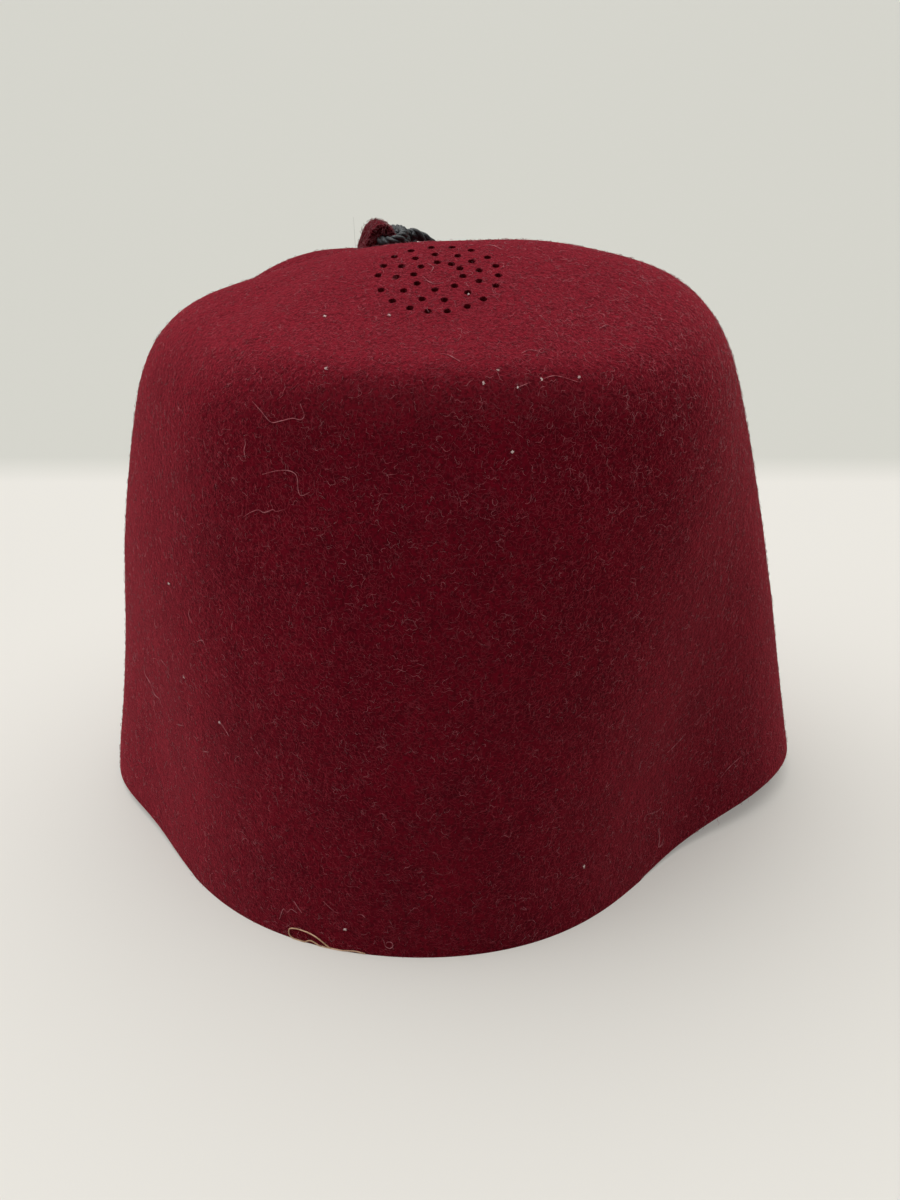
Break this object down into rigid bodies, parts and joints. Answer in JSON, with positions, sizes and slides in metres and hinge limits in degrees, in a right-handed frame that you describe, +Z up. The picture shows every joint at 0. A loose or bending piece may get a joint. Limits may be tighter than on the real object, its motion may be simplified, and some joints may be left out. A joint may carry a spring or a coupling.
{
  "type": "fez hat",
  "caption": "Tall tapered felt fez, hollow for the head, with a vented domed crown, a felt loop on top and a corded tassel hanging at the back.",
  "frame": {"origin": "on the table under the middle of the felt cap's width and depth, at the level of its flattened rim", "axes": "+Z up through the crown, -Y towards the wearer's front, +X to the right seen from the front"},
  "size_m": [0.1836, 0.1837, 0.1482],
  "materials": {
    "wool_felt": "dense burgundy wool felt, matt, slightly fuzzy",
    "black_silk": "twisted black silk cord and thread, soft sheen"
  },
  "bodies": {
    "root": {"felt_cap": "wool_felt", "crown_loop": "wool_felt", "cord_hitch": "black_silk", "tassel_cord": "black_silk", "tassel_head": "black_silk", "tassel_band": "black_silk", "tassel_skirt": "black_silk"}
  },
  "joints": []
}
